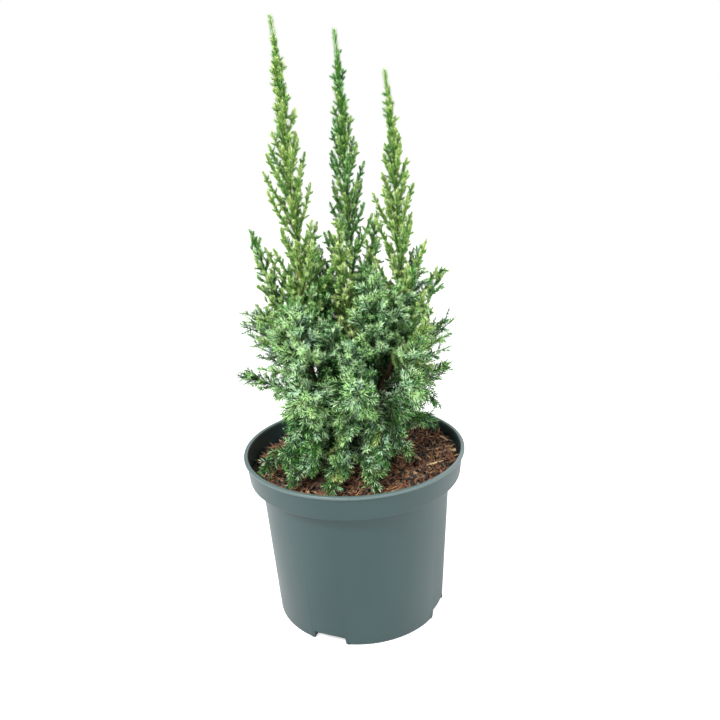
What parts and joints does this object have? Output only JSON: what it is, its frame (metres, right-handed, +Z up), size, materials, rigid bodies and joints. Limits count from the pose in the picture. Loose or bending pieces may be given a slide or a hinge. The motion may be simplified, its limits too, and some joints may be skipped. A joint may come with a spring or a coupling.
{
  "type": "potted juniper",
  "caption": "Young upright juniper with slim green spires over a dense bluish crown, growing in bark compost in a round dark nursery pot with a collared rim.",
  "frame": {"origin": "centre of the pot's flat underside", "axes": "+Z up along the pot's axis, +Y away from the front, +X to the right as seen from the front"},
  "size_m": [0.17, 0.17, 0.442],
  "materials": {
    "pot_plastic": "matte moulded plastic, dark grey green",
    "bark_compost": "loose reddish brown bark chips",
    "stem_bark": "thin fibrous bark",
    "spire_green": "fresh yellow green needles",
    "crown_green": "bluish green needles with pale upper faces"
  },
  "bodies": {
    "root": {"bark_compost": "bark_compost", "bough_back_arm": "stem_bark", "bough_back_rising": "stem_bark", "bough_front_centre": "stem_bark", "bough_front_inner": "stem_bark", "bough_front_left": "stem_bark", "bough_front_right": "stem_bark", "bough_front_rising": "stem_bark", "bough_left_arm": "stem_bark", "bough_left_back": "stem_bark", "bough_left_front_high": "stem_bark", "bough_left_high": "stem_bark", "bough_left_mid": "stem_bark", "bough_left_upper": "stem_bark", "bough_right_arm": "stem_bark", "bough_right_back": "stem_bark", "bough_right_mid": "stem_bark", "bough_right_rising": "stem_bark", "bough_right_upper": "stem_bark", "foliage_back_arm": "crown_green", "foliage_back_rising": "crown_green", "foliage_front_centre": "crown_green", "foliage_front_inner": "crown_green", "foliage_front_left": "crown_green", "foliage_front_right": "crown_green", "foliage_front_rising": "crown_green", "foliage_left_arm": "crown_green", "foliage_left_back": "crown_green", "foliage_left_back_high": "crown_green", "foliage_left_front_high": "crown_green", "foliage_left_high": "crown_green", "foliage_left_inner": "crown_green", "foliage_left_mid": "crown_green", "foliage_left_upper": "crown_green", "foliage_low_back": "crown_green", "foliage_low_back_left": "crown_green", "foliage_low_back_right": "crown_green", "foliage_low_front": "crown_green", "foliage_low_front_left": "crown_green", "foliage_low_front_right": "crown_green", "foliage_low_left": "crown_green", "foliage_low_right": "crown_green", "foliage_low_right_front": "crown_green", "foliage_middle_right": "crown_green", "foliage_right_arm": "crown_green", "foliage_right_back": "crown_green", "foliage_right_back_high": "crown_green", "foliage_right_mid": "crown_green", "foliage_right_rising": "crown_green", "foliage_right_upper": "crown_green", "leader_left": "stem_bark", "leader_middle": "stem_bark", "leader_right": "stem_bark", "pot": "pot_plastic", "spire_left": "spire_green", "spire_middle": "spire_green", "spire_right": "spire_green", "trunk": "stem_bark"}
  },
  "joints": []
}
